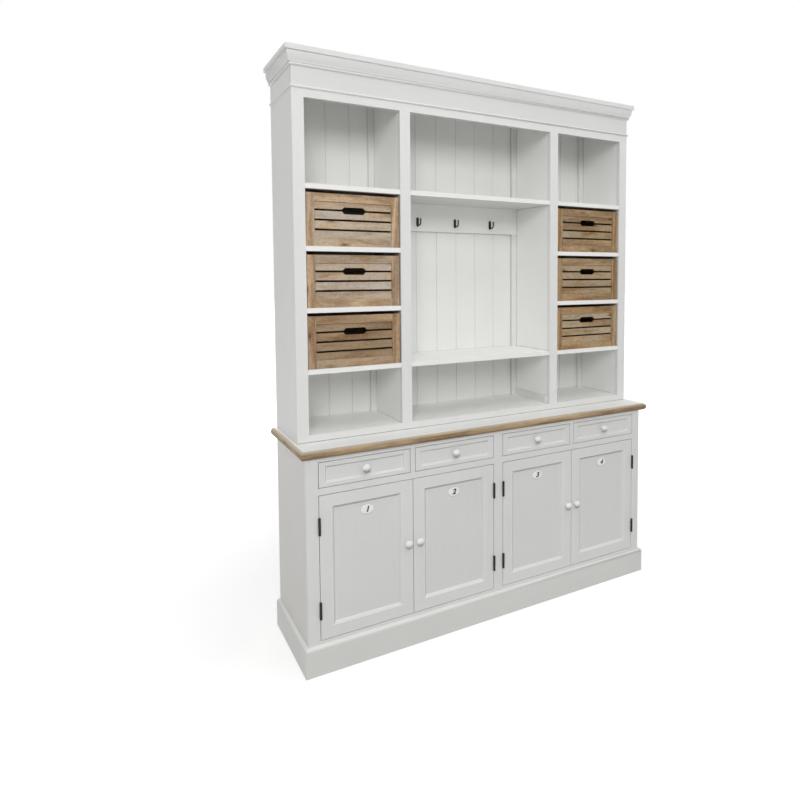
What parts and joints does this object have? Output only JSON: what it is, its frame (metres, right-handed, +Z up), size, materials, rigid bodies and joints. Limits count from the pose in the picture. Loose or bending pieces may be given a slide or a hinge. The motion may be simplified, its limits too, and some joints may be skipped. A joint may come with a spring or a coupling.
{
  "type": "buffet cabinet",
  "caption": "Painted buffet with a hutch: cupboards with number plates, drawers, an oak-edged worktop, open shelves with slatted crates, and a coat rail with hooks.",
  "frame": {"origin": "on the floor under the middle of the cabinet's overall box", "axes": "+X to the right seen from the front, +Y to the back, +Z up"},
  "size_m": [1.6, 0.43, 2.18],
  "materials": {
    "painted_wood": "satin white paint, lightly worn at the edges",
    "painted_knob": "turned wood, white gloss paint",
    "inside_wood": "thin white paint",
    "oak": "oiled oak",
    "light_crate_wood": "bare sawn wood",
    "dark_crate_wood": "bare brown-stained wood",
    "black_iron": "black japanned",
    "enamel": "white stove enamel"
  },
  "bodies": {
    "cabinet": {"astragal": "painted_wood", "base_back": "painted_wood", "base_face_frame": "painted_wood", "base_sides": "painted_wood", "beadboard_back": "painted_wood", "centre_shelves": "painted_wood", "coat_hooks": "black_iron", "coat_rail": "painted_wood", "column_shelves": "painted_wood", "corner_battens": "painted_wood", "cornice_cap": "painted_wood", "cornice_moulding": "painted_wood", "cupboard_divider": "inside_wood", "cupboard_floor_and_drawer_deck": "inside_wood", "cupboard_shelves": "inside_wood", "drawer_guides": "inside_wood", "frieze": "painted_wood", "hinges": "black_iron", "hutch_dividers": "painted_wood", "hutch_face_frame": "painted_wood", "hutch_floor_and_ceiling": "painted_wood", "hutch_sides": "painted_wood", "oak_nosing": "oak", "plinth": "painted_wood", "side_linings": "painted_wood", "worktop": "painted_wood"},
    "door_1": {"door_1_frame": "painted_wood", "door_1_panel": "painted_wood", "door_1_knob": "painted_knob", "door_1_number_plate": "enamel"},
    "drawer_1": {"drawer_1_front": "painted_wood", "drawer_1_box": "inside_wood", "drawer_1_knob": "painted_knob"},
    "door_2": {"door_2_frame": "painted_wood", "door_2_panel": "painted_wood", "door_2_knob": "painted_knob", "door_2_number_plate": "enamel"},
    "drawer_2": {"drawer_2_front": "painted_wood", "drawer_2_box": "inside_wood", "drawer_2_knob": "painted_knob"},
    "door_3": {"door_3_frame": "painted_wood", "door_3_panel": "painted_wood", "door_3_knob": "painted_knob", "door_3_number_plate": "enamel"},
    "drawer_3": {"drawer_3_front": "painted_wood", "drawer_3_box": "inside_wood", "drawer_3_knob": "painted_knob"},
    "door_4": {"door_4_frame": "painted_wood", "door_4_panel": "painted_wood", "door_4_knob": "painted_knob", "door_4_number_plate": "enamel"},
    "drawer_4": {"drawer_4_front": "painted_wood", "drawer_4_box": "inside_wood", "drawer_4_knob": "painted_knob"},
    "left_crate_1": {"left_crate_1": "light_crate_wood"},
    "left_crate_2": {"left_crate_2": "light_crate_wood"},
    "left_crate_3": {"left_crate_3": "light_crate_wood"},
    "right_crate_1": {"right_crate_1": "dark_crate_wood"},
    "right_crate_2": {"right_crate_2": "dark_crate_wood"},
    "right_crate_3": {"right_crate_3": "dark_crate_wood"}
  },
  "joints": [
    {"name": "door_1_hinge", "type": "hinge", "parent": "cabinet", "child": "door_1", "pos_m": [-0.733, -0.1958, 0.372], "axis": [0, 0, -1], "range_deg": [0, 110]},
    {"name": "door_2_hinge", "type": "hinge", "parent": "cabinet", "child": "door_2", "pos_m": [-0.022, -0.1958, 0.372], "axis": [0, 0, 1], "range_deg": [0, 85]},
    {"name": "door_3_hinge", "type": "hinge", "parent": "cabinet", "child": "door_3", "pos_m": [0.022, -0.1958, 0.372], "axis": [0, 0, -1], "range_deg": [0, 85]},
    {"name": "door_4_hinge", "type": "hinge", "parent": "cabinet", "child": "door_4", "pos_m": [0.733, -0.1958, 0.372], "axis": [0, 0, 1], "range_deg": [0, 110]},
    {"name": "drawer_1_slide", "type": "slide", "parent": "cabinet", "child": "drawer_1", "axis": [0, -1, 0], "range_m": [0, 0.28]},
    {"name": "drawer_2_slide", "type": "slide", "parent": "cabinet", "child": "drawer_2", "axis": [0, -1, 0], "range_m": [0, 0.28]},
    {"name": "drawer_3_slide", "type": "slide", "parent": "cabinet", "child": "drawer_3", "axis": [0, -1, 0], "range_m": [0, 0.28]},
    {"name": "drawer_4_slide", "type": "slide", "parent": "cabinet", "child": "drawer_4", "axis": [0, -1, 0], "range_m": [0, 0.28]},
    {"name": "left_crate_1_slide", "type": "slide", "parent": "cabinet", "child": "left_crate_1", "axis": [0, -1, 0], "range_m": [0, 0.2]},
    {"name": "left_crate_2_slide", "type": "slide", "parent": "cabinet", "child": "left_crate_2", "axis": [0, -1, 0], "range_m": [0, 0.2]},
    {"name": "left_crate_3_slide", "type": "slide", "parent": "cabinet", "child": "left_crate_3", "axis": [0, -1, 0], "range_m": [0, 0.2]},
    {"name": "right_crate_1_slide", "type": "slide", "parent": "cabinet", "child": "right_crate_1", "axis": [0, -1, 0], "range_m": [0, 0.2]},
    {"name": "right_crate_2_slide", "type": "slide", "parent": "cabinet", "child": "right_crate_2", "axis": [0, -1, 0], "range_m": [0, 0.2]},
    {"name": "right_crate_3_slide", "type": "slide", "parent": "cabinet", "child": "right_crate_3", "axis": [0, -1, 0], "range_m": [0, 0.2]}
  ]
}
